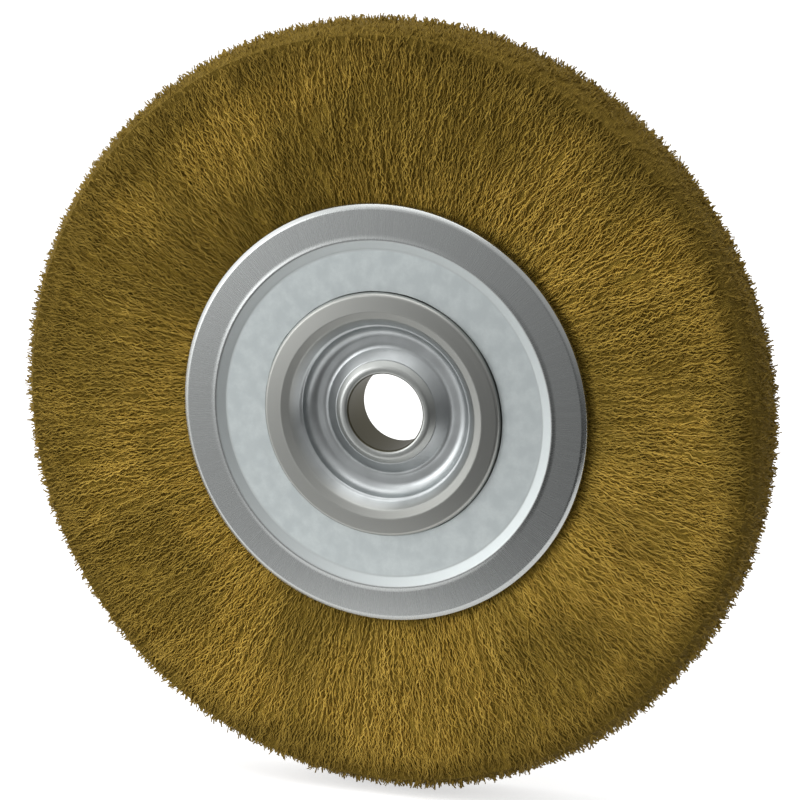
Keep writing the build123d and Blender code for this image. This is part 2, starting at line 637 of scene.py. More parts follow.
@dataclass(frozen=True)
class TubeSteel:
    """The tube's steel: plated on the rolled lips and dull and dark down the bore."""

    lip: Colour = (0.43, 0.445, 0.43)
    bore: Colour = (0.075, 0.068, 0.042)
    lip_spans: tuple[float, float] = (10.15 * MM, 10.55 * MM)
    lip_clouds: float = 0.85
    lip_roughness: float = 0.36
    bore_roughness: float = 0.55
    ring_depth: float = 0.006 * MM

    def build(self) -> bpy.types.Material:
        """Make the material."""
        material, tree, shader = new_material("tube_steel")
        shader.inputs["Metallic"].default_value = 1.0
        grain = Effects.place(tree, "grain", Broad=130.0, Fine=2200.0)
        turning = Effects.place(tree, "turning", Rings=4000.0)
        on_lip = add_range(tree, object_radius(tree), self.lip_spans, FULL)
        clouded = tuple(channel * self.lip_clouds for channel in self.lip)
        lip = add_mix(tree, grain.outputs["Cloud"], self.lip, clouded)
        tree.links.new(add_mix(tree, on_lip, self.bore, lip), shader.inputs["Base Color"])
        rough = add_range(tree, on_lip, FULL, (self.bore_roughness, self.lip_roughness))
        tree.links.new(rough, shader.inputs["Roughness"])
        add_bump(tree, shader, turning.outputs["Mask"], self.ring_depth)
        return material


@dataclass(frozen=True)
class BrassWire:
    """Brass-coloured crimped wire: every wire has its own tone, patches are dulled, and painted shade
    darkens the tips.

    Attributes:
        light: Colour of the brightest wires.
        dark: Colour of the darkest wires.
        dull: Colour of the dulled patches.
        tip: Colour of the painted shade at the tips, where the loose wires shade one another.
        tip_shade_spans: Radii where the painted shade starts and where it has its share.
        tip_shade_share: Share of the painted shade at the crown.
        dulled: Share of the dull colour in a patch.
        metallic: How metallic the wires are; dust and oxide take the rest.
        specular: Specular level of the rest.
        roughness: Roughness of the wires.
    """

    light: Colour = (0.61, 0.42, 0.087)
    dark: Colour = (0.42, 0.275, 0.036)
    dull: Colour = (0.25, 0.17, 0.025)
    # Painted shade: the tip colour and its spans darken the loose tips, where the wires shade one another.
    tip: Colour = (0.19, 0.125, 0.018)
    tip_shade_spans: tuple[float, float] = (84.0 * MM, 101.0 * MM)
    tip_shade_share: float = 0.8
    dulled: float = 0.7
    metallic: float = 0.6
    specular: float = 0.3
    roughness: float = 0.62

    def build(self) -> bpy.types.Material:
        """Make the material, which reads each wire's tone from the wire_tone attribute."""
        material, tree, shader = new_material("brassed_wire")
        shader.inputs["Metallic"].default_value = self.metallic
        shader.inputs["Roughness"].default_value = self.roughness
        shader.inputs["Specular IOR Level"].default_value = self.specular
        strands = Effects.place(tree, "strands", Strands=300.0, Along=700.0, Patches=30.0)
        tone = add_node(tree, "ShaderNodeAttribute", attribute_name="wire_tone", attribute_type="GEOMETRY")
        colour = add_mix(tree, tone.outputs["Fac"], self.dark, self.light)
        dulled = add_math(tree, "MULTIPLY", strands.outputs["Patch"], self.dulled)
        colour = add_mix(tree, dulled, colour, self.dull)
        # Painted shade: the colour darkens towards the crown, where the loose tips shade one another.
        tip_shade = add_range(tree, object_radius(tree), self.tip_shade_spans, (0.0, self.tip_shade_share))
        tree.links.new(add_mix(tree, tip_shade, colour, self.tip), shader.inputs["Base Color"])
        return material


@dataclass(frozen=True)
class PackedWires:
    """The dense inside of the fill, seen only in the gaps between the outer wires.

    Attributes:
        light: Colour of the strands' crests.
        dark: Colour between the strands, a painted shade in the grooves.
        deep: Colour near the crown, where little light gets in.
        deep_spans: Radii where the deep colour starts and where it has its share.
        deep_share: Share of the deep colour at the crown.
        strand_depth: Depth between the strands.
        specular: Specular level of the strands.
        roughness: Roughness of the strands.
    """

    light: Colour = (0.48, 0.32, 0.052)
    dark: Colour = (0.34, 0.225, 0.03)
    deep: Colour = (0.07, 0.045, 0.006)
    deep_spans: tuple[float, float] = (90.0 * MM, 97.0 * MM)
    deep_share: float = 0.6
    strand_depth: float = 0.4 * MM
    specular: float = 0.1
    roughness: float = 0.8

    def build(self) -> bpy.types.Material:
        """Make the material."""
        material, tree, shader = new_material("packed_wires")
        shader.inputs["Roughness"].default_value = self.roughness
        shader.inputs["Specular IOR Level"].default_value = self.specular
        strands = Effects.place(tree, "strands", Strands=420.0, Along=500.0, Patches=60.0)
        # Painted shade: the colour darkens in the grooves between strands, following the bump's mask.
        colour = add_mix(tree, strands.outputs["Streak"], self.dark, self.light)
        near_crown = add_range(tree, object_radius(tree), self.deep_spans, (0.0, self.deep_share))
        tree.links.new(add_mix(tree, near_crown, colour, self.deep), shader.inputs["Base Color"])
        add_bump(tree, shader, strands.outputs["Streak"], self.strand_depth)
        return material


# ---------------------------------------------------------------------------------------------
# Hub
# ---------------------------------------------------------------------------------------------


def node_angle(node: str) -> float:
    """Angle round the wheel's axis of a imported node's middle, from +X towards +Z."""
    places = vertex_array(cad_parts[node])
    return math.atan2(places[:, 2].mean(), places[:, 0].mean())


def dress(piece: bpy.types.Object, slot: str, *nodes: str) -> None:
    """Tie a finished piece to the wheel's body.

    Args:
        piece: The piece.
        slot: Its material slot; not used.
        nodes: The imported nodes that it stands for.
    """
    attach(piece, BODY)
    if nodes:
        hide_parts(*nodes)


def finish_piece(piece: bpy.types.Object, material: bpy.types.Material, slot: str, *nodes: str) -> None:
    """Smooth a modelled piece, give it its material and put it in its nodes' place.

    Args:
        piece: The piece.
        material: Its finish.
        slot: Its material slot.
        nodes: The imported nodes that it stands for.
    """
    deselect_all()
    piece.select_set(True)
    bpy.context.view_layer.objects.active = piece
    bpy.ops.object.shade_smooth_by_angle(angle=math.radians(SMOOTH_DEGREES))
    bpy.ops.object.modifier_add(type="WEIGHTED_NORMAL")
    piece.modifiers[-1].keep_sharp = True
    bpy.ops.object.modifier_apply(modifier=piece.modifiers[-1].name)
    piece.data.materials.clear()
    piece.data.materials.append(material)
    dress(piece, slot, *nodes)
    LOG.info("%s: %d faces", piece.name, len(piece.data.polygons))


@dataclass(frozen=True)
class HubSizes:
    """The hub's own sizes; every corner of its three turned outlines follows from them."""

    bore_radius: float = 10.0 * MM
    tube_wall: float = 1.4 * MM
    lip_crest_width: float = 1.9 * MM
    lip_radius: float = 13.4 * MM
    lip_height: float = 1.1 * MM
    lip_edge: float = 0.1 * MM
    slide_gap: float = 0.1 * MM
    seat_gap: float = 0.15 * MM
    cup_thickness: float = 1.5 * MM
    neck_height: float = 5.5 * MM
    neck_radius: float = 13.6 * MM
    boss_run: float = 3.0 * MM
    cove_height: float = 3.38 * MM
    cove_run: float = 1.0 * MM
    ridge_height: float = 3.52 * MM
    floor_width: float = 4.1 * MM
    floor_height: float = 3.5 * MM
    lower_wall: tuple[float, float] = (0.6 * MM, 3.0 * MM)
    ledge: tuple[float, float] = (0.7 * MM, 0.4 * MM)
    upper_wall: tuple[float, float] = (2.0 * MM, 2.5 * MM)
    bevel_run: float = 1.9 * MM
    land_width: float = 4.8 * MM
    land_height: float = 10.3 * MM
    land_fall: float = 0.5 * MM
    brim_radius: float = 40.3 * MM
    plate_thickness: float = 1.2 * MM
    annulus_width: float = 10.95 * MM
    annulus_height: float = 8.3 * MM
    step_run: float = 2.4 * MM
    band_width: float = 8.0 * MM
    band_height: float = 9.5 * MM
    band_fall: float = 0.5 * MM
    crest_run: float = 1.0 * MM
    crest_fall: float = 0.17 * MM
    rim_run: float = 1.1 * MM
    rim_fall: float = 0.7 * MM

    @property
    def cove_radius(self) -> float:
        """Lowest part of the recess, at the foot of the boss round the bore."""
        return self.neck_radius + self.boss_run

    @property
    def floor_radius(self) -> float:
        """Where the bowl's floor turns up into its wall."""
        return self.cove_radius + self.cove_run + self.floor_width

    @property
    def bevel_radius(self) -> float:
        """Where the wall ends and the bevel up to the land starts."""
        return self.floor_radius + self.lower_wall[0] + self.ledge[0] + self.upper_wall[0]

    @property
    def land_inner_radius(self) -> float:
        """Where the bevel meets the raised land."""
        return self.bevel_radius + self.bevel_run

    @property
    def land_outer_radius(self) -> float:
        """Where the land turns down to the plate."""
        return self.land_inner_radius + self.land_width

    @property
    def brim_height(self) -> float:
        """Underside of the plate's annulus, where the cup's brim lies."""
        return self.annulus_height - self.plate_thickness


@dataclass
class SidePlate:
    """Pressed plate: a flat annulus, an S-shaped step up to the band and a rim turned down.

    Attributes:
        side: The half of the wheel that the plate is on.
        sizes: The hub's sizes.
        punch_wander: How far the punched centre hole wanders in and out.
        punch_lobes: The waves that its wander is made of, by their number round the hole.
        hole_reach: Distance from the hole over which its wander dies out.
        press_wander: How far the flat annulus waves up and down.
        press_lobes: Number of those waves.
        press_reach: Radius where the waves have died out, and the length over which they do.
    """

    side: Side
    sizes: HubSizes = field(default_factory=HubSizes)
    punch_wander: float = 0.09 * MM
    punch_lobes: tuple[int, ...] = (2, 3, 5, 9, 14, 23, 38)
    hole_reach: float = 1.0 * MM
    press_wander: float = 0.04 * MM
    press_lobes: int = 3
    press_reach: tuple[float, float] = (46.0 * MM, 10.0 * MM)

    def outline(self) -> list[Corner]:
        """Corners of the plate's section, outer face first."""
        sizes = self.sizes
        hole = sizes.land_outer_radius + sizes.seat_gap
        step_start = hole + sizes.annulus_width
        step_end = step_start + sizes.step_run
        band_end = step_end + sizes.band_width
        rim = band_end + sizes.rim_run
        low = sizes.annulus_height
        crest = sizes.band_height
        band_low = crest - sizes.band_fall
        rim_low = band_low - sizes.rim_fall
        outer = [
            Corner(hole, low, 0.15 * MM, 2),
            Corner(step_start, low, 0.25 * MM, 3),
            Corner(step_end, crest, 0.30 * MM, 5),
            Corner(step_end + sizes.crest_run, crest - sizes.crest_fall, 0.35 * MM, 4),
            Corner(band_end, band_low, 0.35 * MM, 3),
            Corner(rim, rim_low, 0.3 * MM, 4),
        ]
        inner = [Corner(c.radius, c.height - sizes.plate_thickness, c.ease, 2) for c in outer]
        for end in (0, -1):
            inner[end] = Corner(inner[end].radius, inner[end].height)
        return outer + inner[::-1]

    def build(self, material: bpy.types.Material) -> bpy.types.Object:
        """Build the plate with a slightly uneven hole and face.

        Args:
            material: The plate's finish.

        Returns:
            The plate.
        """
        piece = turned_piece(f"{self.side.word}_plate_pressed", self.outline(), self.side, RING_SEGMENTS)
        places = vertex_array(piece)
        angle = np.arctan2(places[:, 2], places[:, 0])
        radius = np.hypot(places[:, 0], places[:, 2])
        rng = np.random.default_rng((SEED, self.side.value + 1))
        near_hole = np.clip(1 - (radius - self.sizes.land_outer_radius) / self.hole_reach, 0, 1)
        wander = np.zeros_like(angle)
        for lobes in self.punch_lobes:
            wander += np.sin(lobes * angle + rng.uniform(0, 2 * math.pi)) / math.sqrt(lobes)
        growth = 1 + np.maximum(wander, -1) * self.punch_wander * near_hole / radius
        places[:, 0] *= growth
        places[:, 2] *= growth
        inside = np.clip((self.press_reach[0] - radius) / self.press_reach[1], 0, 1)
        places[:, 1] += self.press_wander * np.sin(self.press_lobes * angle + 1) * inside
        move_vertices(piece, places)
        finish_piece(piece, material, "zinc_plate", f"{self.side.word}_side_plate")
        return piece


@dataclass
class HubCup:
    """Drawn cup: boss round the bore, bowl with a stepped wall, bevel, raised land and the brim.

    Attributes:
        side: The half of the wheel that the cup is on.
        sizes: The hub's sizes.
    """

    side: Side
    sizes: HubSizes = field(default_factory=HubSizes)

    def outline(self) -> list[Corner]:
        """Corners of the cup's section, from the neck outwards and back under the land."""
        sizes = self.sizes
        hole = sizes.bore_radius + sizes.tube_wall + sizes.slide_gap
        corners = [
            Corner(hole, sizes.neck_height),
            Corner(sizes.neck_radius, sizes.neck_height, 0.15 * MM, 2),
            Corner(sizes.cove_radius, sizes.cove_height, 0.6 * MM, 5),
            Corner(sizes.cove_radius + sizes.cove_run, sizes.ridge_height, 0.45 * MM, 4),
            Corner(sizes.floor_radius, sizes.floor_height, 2.6 * MM, 12),
        ]
        ledge_radius = sizes.floor_radius + sizes.lower_wall[0] + sizes.ledge[0]
        ledge_height = sizes.floor_height + sizes.lower_wall[1] + sizes.ledge[1]
        corners += [
            Corner(ledge_radius - sizes.ledge[0], ledge_height - sizes.ledge[1], 0.35 * MM, 4),
            Corner(ledge_radius, ledge_height, 0.35 * MM, 4),
            Corner(sizes.bevel_radius, ledge_height + sizes.upper_wall[1], 0.4 * MM, 4),
        ]
        inner, outer = sizes.land_inner_radius, sizes.land_outer_radius
        wall = outer - sizes.cup_thickness
        under_land = sizes.land_height - sizes.cup_thickness
        under_floor = sizes.cove_height - sizes.cup_thickness
        under_brim = sizes.brim_height - sizes.cup_thickness
        under_neck = sizes.neck_height - sizes.cup_thickness
        corners += [
            Corner(inner, sizes.land_height, 0.2 * MM, 3),
            Corner(outer, sizes.land_height - sizes.land_fall, 1.0 * MM, 6),
            Corner(outer, sizes.brim_height),
            Corner(sizes.brim_radius, sizes.brim_height),
            Corner(sizes.brim_radius, under_brim),
            Corner(wall, under_brim),
            Corner(wall, under_land),
            Corner(inner, under_land),
            Corner(ledge_radius + sizes.cup_thickness, ledge_height - sizes.cup_thickness),
            Corner(sizes.floor_radius + sizes.cup_thickness, under_floor),
            Corner(sizes.cove_radius, under_floor),
            Corner(sizes.neck_radius, under_neck),
            Corner(hole, under_neck),
        ]
        return corners

    def build(self, material: bpy.types.Material) -> bpy.types.Object:
        """Build the cup."""
        piece = turned_piece(f"{self.side.word}_cup_drawn", self.outline(), self.side, RING_SEGMENTS)
        finish_piece(piece, material, "cup_steel", f"{self.side.word}_hub_cup")
        return piece


@dataclass
class ArborTube:
    """The tube that is the bore, with both ends rolled out over the cups' necks."""

    sizes: HubSizes = field(default_factory=HubSizes)

    def outline(self) -> list[Corner]:
        """Corners of the tube's section, rear end first."""
        sizes = self.sizes
        outside = sizes.bore_radius + sizes.tube_wall
        top = sizes.neck_height + sizes.lip_height
        end = [
            Corner(sizes.bore_radius, top, 0.9 * MM, 6),
            Corner(sizes.bore_radius + sizes.lip_crest_width, top, 0.5 * MM, 4),
            Corner(sizes.lip_radius, sizes.neck_height + sizes.lip_edge),
            Corner(sizes.lip_radius, sizes.neck_height),
            Corner(outside, sizes.neck_height),
            Corner(outside, sizes.neck_height - sizes.cup_thickness),
            Corner(sizes.lip_radius, sizes.neck_height - sizes.cup_thickness),
        ]
        return end + [Corner(c.radius, -c.height, c.ease, c.steps) for c in reversed(end)]

    def build(self, material: bpy.types.Material) -> bpy.types.Object:
        """Build the tube."""
        piece = turned_piece("arbor_tube_rolled", self.outline(), Side.REAR, RING_SEGMENTS)
        finish_piece(piece, material, "tube_steel", "arbor_tube")
        return piece


# ---------------------------------------------------------------------------------------------
# Wires
# ---------------------------------------------------------------------------------------------


@dataclass(frozen=True)
class FillShape:
    """The outline that a row's wires fill: waist under the rim, flank, and the crown over the tips.

    Attributes:
        waist_radius: Where the wires leave the rim of the side plate.
        waist_height: Height of the outermost wires there.
        shoulder_radius: Where the fan stops opening quickly.
        shoulder_height: Height of the outermost wires there.
        flank_radius: Where the flank meets the crown.
        flank_height: Height of the outermost wires there.
        brush_radius: Radius of the crown on the mid-plane.
        crown_radius: Radius of the crown's arc across the face.
        shoulder_round: How far the rounded shoulder lies inside its corner.
        corner_drop: How far the crown falls away in all where it turns into the flank.
        corner_power: How suddenly it does so.
        ceiling: Greatest height of a wire's middle anywhere.
    """

    waist_radius: float = 54.3 * MM
    waist_height: float = 6.3 * MM
    shoulder_radius: float = 65.8 * MM
    shoulder_height: float = 9.4 * MM
    flank_radius: float = 99.0 * MM
    flank_height: float = 10.3 * MM
    brush_radius: float = 101.6 * MM
    crown_radius: float = 25.0 * MM
    shoulder_round: float = 0.45 * MM
    corner_drop: float = 2.2 * MM
    corner_power: int = 8
    ceiling: float = 10.7 * MM

    def flank(self, radius: np.ndarray) -> np.ndarray:
        """Find the flank.

        Args:
            radius: Distances from the wheel's axis.

        Returns:
            Height of the outermost wires at each of them.
        """
        stations = (self.waist_radius, self.shoulder_radius, self.flank_radius)
        heights = (self.waist_height, self.shoulder_height, self.flank_height)
        straight = np.interp(radius, stations, heights)
        reach = (self.shoulder_radius - self.waist_radius) / 2
        near = np.clip(1 - np.abs(radius - self.shoulder_radius) / reach, 0, 1)
        return straight - self.shoulder_round * near**2

    def crown(self, height: np.ndarray) -> np.ndarray:
        """Find the crown.

        Args:
            height: Distances from the mid-plane.

        Returns:
            Radius of the crown at each of them.
        """
        centre = self.brush_radius - self.crown_radius
        corner = self.corner_drop * (height / self.flank_height) ** self.corner_power
        return centre + np.sqrt(self.crown_radius**2 - height**2) - corner


@dataclass(frozen=True)
class WireGauge:
    """A crimped wire's own sizes: its thickness, its crimp and how it is faceted."""

    radius: float = 0.18 * MM
    crimp_pitch: float = 2.6 * MM
    crimp_depth: float = 0.27 * MM
    sides: int = 3

    def master(self, name: str, length: float) -> tuple[np.ndarray, np.ndarray]:
        """Model one crimped wire along X by extruding a small ring from bend to bend.

        Args:
            name: Name of the scratch object, which is removed again.
            length: Length of the wire.

        Returns:
            Its vertices, with X as a fraction of the length, and its triangles.
        """
        bends = round(2 * length / self.crimp_pitch)
        step = length / bends
        deselect_all()
        bpy.ops.mesh.primitive_circle_add(
            vertices=self.sides,
            radius=self.radius,
            location=(0, -self.crimp_depth, 0),
            rotation=(0, math.radians(90), 0),
        )
        wire = bpy.context.object
        wire.name = name
        bpy.ops.object.transform_apply(location=True, rotation=True, scale=True)
        bpy.ops.object.mode_set(mode="EDIT")
        bpy.ops.mesh.select_all(action="SELECT")
        for bend in range(bends):
            swing = 2 * self.crimp_depth * (1 if bend % 2 == 0 else -1)
            bpy.ops.mesh.extrude_region_move(TRANSFORM_OT_translate={"value": (step, swing, 0)})
        bpy.ops.mesh.select_all(action="SELECT")
        bpy.ops.mesh.fill_holes(sides=self.sides)
        bpy.ops.mesh.quads_convert_to_tris()
        bpy.ops.mesh.normals_make_consistent(inside=False)
        bpy.ops.object.mode_set(mode="OBJECT")
        places = vertex_array(wire)
        places[:, 0] /= length
        triangles = np.zeros(len(wire.data.polygons) * 3, np.int32)
        wire.data.polygons.foreach_get("vertices", triangles)
        bpy.data.objects.remove(wire)
        return places, triangles.reshape(-1, 3)


@dataclass(frozen=True)
class Batch:
    """Wires of one kind in a bundle, as they lie before they are bent.

    Attributes:
        angle: Each wire's angle round the wheel's axis.
        root: Radius where each wire starts.
        tip: Radius where each wire ends.
        layer: Each wire's share of the flank's height.
        arch: Share of the flank's height by which a wire's ends dip under its middle.
        held: Share of the length, from the root, at which a leaning wire stays in place.
    """

    angle: np.ndarray
    root: np.ndarray
    tip: np.ndarray
    layer: np.ndarray
    arch: float
    held: float


@dataclass
class WireBundle:
    """One bundle of one row: long wires, the stretches of others that surface, and the tips.

    Attributes:
        side: The row that the bundle belongs to.
        number: The bundle's number in its row, from 1.
        bundles: Number of bundles in a row.
        wires: Number of wires that show from root to tip.
        stretches: Number of wires that only come to the surface for part of their length.
        tips: Number of wires that only show at the crown.
        shape: The outline that the wires fill.
        gauge: The wires' own sizes.
        root_radius: Where the long wires start, under the side plate.
        stretch_length: Usual length of a stretch.
        stretch_spread: Least and greatest length of a stretch, as a share of the usual one.
        tip_length: Length of the tips.
        arch: Share of the flank's height by which a stretch's ends dip.
        lean: Spread of the wires' lean away from straight out, in radians.
        tousled: How far the wires at one place are pushed aside together.
        waves: Each wave of that push: its lobes round the wheel, its length outwards and its share.
        lifted: Share of the flank's height by which they are pressed in together.
        turned: Spread of a wire's crimp away from square to the wheel's face, in radians.
        twist: Spread of the turn of a wire's crimp from its root to its tip, in radians.
        crimp_spread: Least and greatest depth of a wire's crimp, as a share of the usual one.
        crimp_starts: Share of its depth that the crimp has at the root.
        deepest: Share of the flank's height over which the flank's wires are spread.
        ragged: Scale of the tips' distance inside the crown.
        uncut: Share of that scale below which a tip still reaches the crown.
        dips: Each wave of the crown's raggedness: its lobes round the wheel and its share.
        tufts: Number of tufts round the crown.
        gather: Share of the way to its tuft's middle that a tip is pulled.
        gather_power: How suddenly a wire bends towards it near the tip.
        lowest: Least height of a wire's middle.
        tone_evenness: Both shapes of the beta distribution of the wires' tones.
    """

    side: Side
    number: int
    bundles: int = 12
    wires: int = 50
    stretches: int = 1080
    tips: int = 820
    shape: FillShape = field(default_factory=FillShape)
    gauge: WireGauge = field(default_factory=WireGauge)
    root_radius: float = 50.5 * MM
    stretch_length: float = 7.8 * MM
    stretch_spread: tuple[float, float] = (0.7, 1.3)
    tip_length: float = 5.5 * MM
    arch: float = 0.13
    lean: float = 0.19
    tousled: float = 0.8 * MM
    waves: tuple[tuple[int, float, float], ...] = (
        (13, 30 * MM, 0.38),
        (41, 13 * MM, 0.30),
        (97, 7 * MM, 0.25),
    )
    lifted: float = 0.02
    turned: float = 0.7
    twist: float = 1.5
    crimp_spread: tuple[float, float] = (0.7, 1.4)
    crimp_starts: float = 0.35
    deepest: float = 0.06
    ragged: float = 1.0 * MM
    uncut: float = 0.7
    dips: tuple[tuple[int, float], ...] = ((7, 0.30), (19, 0.30), (37, 0.30), (97, 0.35))
    tufts: int = 229
    gather: float = 0.6
    gather_power: int = 6
    lowest: float = 0.05 * MM
    tone_evenness: int = 4

    @property
    def node(self) -> str:
        """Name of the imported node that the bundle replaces."""
        return f"{self.side.word}_wires_{self.number:02d}"

    def place_in_tuft(self, angle: np.ndarray, layer: np.ndarray) -> np.ndarray:
        """Phase within the tuft that a tip belongs to: 0 at its middle, up to pi at its edges."""
        phase = self.tufts * angle + 4 * np.sin(9 * angle) + 14 * layer * self.side.value
        return (phase + math.pi) % (2 * math.pi) - math.pi

    def tousle(self, angle: np.ndarray, radius: np.ndarray, turn: float) -> np.ndarray:
        """Push all the wires at one place together.

        Args:
            angle: Each wire's angle round the wheel's axis.
            radius: Distances from the axis along each wire.
            turn: Angle that sets one pattern of pushes apart from another.

        Returns:
            The push at each place, between about -1 and 1.
        """
        push = np.zeros(np.broadcast(angle, radius).shape)
        for lobes, wave, depth in self.waves:
            phase = lobes * (angle + turn) + 2 * math.pi * radius / wave + lobes * self.side.value
            push += depth * np.sin(phase)
        return push

    def shortfall(self, angle: np.ndarray, layer: np.ndarray, rng: np.random.Generator) -> np.ndarray:
        """Cut the tips: tufts stand out and single wires are cut short.

        Args:
            angle: Each wire's angle round the wheel's axis.
            layer: Each wire's share of the flank's height.
            rng: Source of the variation.

        Returns:
            How far each tip ends inside the crown.
        """
        dips = 0.5 * (1 - np.cos(self.place_in_tuft(angle, layer)))
        for lobes, depth in self.dips:
            dips += depth * (1 + np.sin(lobes * angle + lobes * layer * self.side.value))
        single = np.minimum(rng.gamma(1.3, 0.45, angle.shape), 3.0)
        return self.ragged * np.maximum(dips + single - self.uncut, 0)

    def batches(self, rng: np.random.Generator) -> dict[str, Batch]:
        """Lay out the bundle's three kinds of wires.

        Args:
            rng: Source of the variation.

        Returns:
            Each kind's wires, by the name of the master that they copy.
        """
        share = 2 * math.pi / self.bundles
        start = node_angle(self.node) - share / 2

        def spread(count: int) -> np.ndarray:
            """Spread angles evenly, but not regularly, over the bundle."""
            return start + share * (np.arange(count) + rng.uniform(0, 1, count)) / count

        def crown(angle: np.ndarray, layer: np.ndarray) -> np.ndarray:
            """Radius where the wires at these angles and layers end."""
            level = self.shape.crown(layer * self.shape.flank_height)
            return level - self.gauge.radius - self.shortfall(angle, layer, rng)

        angle = spread(self.wires)
        layer = 1 - self.deepest * rng.uniform(0, 1, self.wires)
        root = self.root_radius + rng.uniform(0, self.gauge.crimp_pitch, self.wires)
        long_wires = Batch(angle, root, crown(angle, layer), layer, 0.0, 0.0)

        angle = spread(self.stretches)
        layer = 1 - self.deepest * rng.uniform(0, 1, self.stretches)
        reach = self.stretch_length * rng.uniform(*self.stretch_spread, self.stretches)
        inner, outer = self.shape.waist_radius - 3 * MM, self.shape.brush_radius
        middle = np.sqrt(rng.uniform(inner**2, outer**2, self.stretches))
        tip = np.minimum(np.maximum(middle, self.root_radius + reach / 2) + reach / 2, crown(angle, layer))
        stretches = Batch(angle, tip - reach, tip, layer, self.arch, 0.5)

        angle = spread(self.tips)
        layer = rng.uniform(0, 1, self.tips)
        tip = crown(angle, layer)
        tips = Batch(angle, tip - self.tip_length, tip, layer, 0.0, 0.5)
        return {"long": long_wires, "stretch": stretches, "tip": tips}

    def strew(
        self, master: tuple[np.ndarray, np.ndarray], batch: Batch, rng: np.random.Generator
    ) -> tuple[np.ndarray, np.ndarray, np.ndarray]:
        """Copy a straight crimped wire many times, each bent along the fan in its own way.

        Args:
            master: The straight wire's vertices and triangles.
            batch: Where the copies lie.
            rng: Source of the variation.

        Returns:
            Vertices, triangles and a tone for each vertex.
        """
        places, triangles = master
        count = len(batch.angle)
        angle, layer = batch.angle[:, None], batch.layer[:, None]
        along = places[None, :, 0]
        reach = (batch.tip - batch.root)[:, None]
        radius = batch.root[:, None] + reach * along
        out = (radius - self.root_radius) / (self.shape.brush_radius - self.root_radius)

        aside = rng.normal(0, self.lean, (count, 1)) * reach * (along - batch.held)
        aside = aside + self.tousled * self.tousle(angle, radius, 0.0) * np.clip(out * 3, 0, 1)
        pull = self.gather * self.place_in_tuft(batch.angle, batch.layer)[:, None] / self.tufts
        aside = aside - pull * radius * out**self.gather_power
        arch = batch.arch * (2 * along - 1) ** 2
        lift = self.lifted * (self.tousle(angle, radius, 1.0) - 1)
        height = np.clip(layer - arch + lift, 0, 1) * self.shape.flank(radius)

        turn = rng.choice((-0.5, 0.5), (count, 1)) * math.pi + rng.normal(0, self.turned, (count, 1))
        turn = turn + rng.normal(0, self.twist, (count, 1)) * out
        depth = rng.uniform(*self.crimp_spread, (count, 1)) * np.clip(out * 8, self.crimp_starts, 1)
        aside = aside + depth * (places[None, :, 1] * np.cos(turn) - places[None, :, 2] * np.sin(turn))
        height = height + depth * (places[None, :, 1] * np.sin(turn) + places[None, :, 2] * np.cos(turn))
        height = np.clip(height, self.lowest, self.shape.ceiling)
        radius = np.sqrt(np.maximum(radius**2 - aside**2, 0))
        across, upwards = np.cos(angle), np.sin(angle)
        points = np.stack(
            (
                radius * across - aside * upwards,
                self.side.value * height,
                radius * upwards + aside * across,
            ),
            axis=-1,
        )
        numbers = triangles[None] + (np.arange(count) * len(places))[:, None, None]
        if self.side is Side.FRONT:
            numbers = numbers[:, :, ::-1]
        tone = np.repeat(rng.beta(self.tone_evenness, self.tone_evenness, count), len(places))
        return points.reshape(-1, 3), numbers.reshape(-1, 3), tone

    def build(
        self, masters: dict[str, tuple[np.ndarray, np.ndarray]], material: bpy.types.Material
    ) -> bpy.types.Object:
        """Build the bundle and put it in its node's place.

        Args:
            masters: The straight wires that the bundle's wires are copied from, by kind.
            material: The wires' finish.

        Returns:
            The bundle.
        """
        rng = np.random.default_rng((SEED, self.number, self.side.value + 1))
        points, triangles, tones = [], [], []
        for kind, batch in self.batches(rng).items():
            places, numbers, tone = self.strew(masters[kind], batch, rng)
            triangles.append(numbers + sum(len(block) for block in points))
            points.append(places)
            tones.append(tone)
        piece = mesh_from_arrays(self.node + "_crimped", np.concatenate(points), np.concatenate(triangles))
        tone = piece.data.attributes.new("wire_tone", "FLOAT", "POINT")
        tone.data.foreach_set("value", np.concatenate(tones).astype(np.float32))
        piece.data.materials.append(material)
        dress(piece, "brassed_wire", self.node)
        LOG.info("%s: %d triangles", piece.name, len(piece.data.polygons))
        return piece


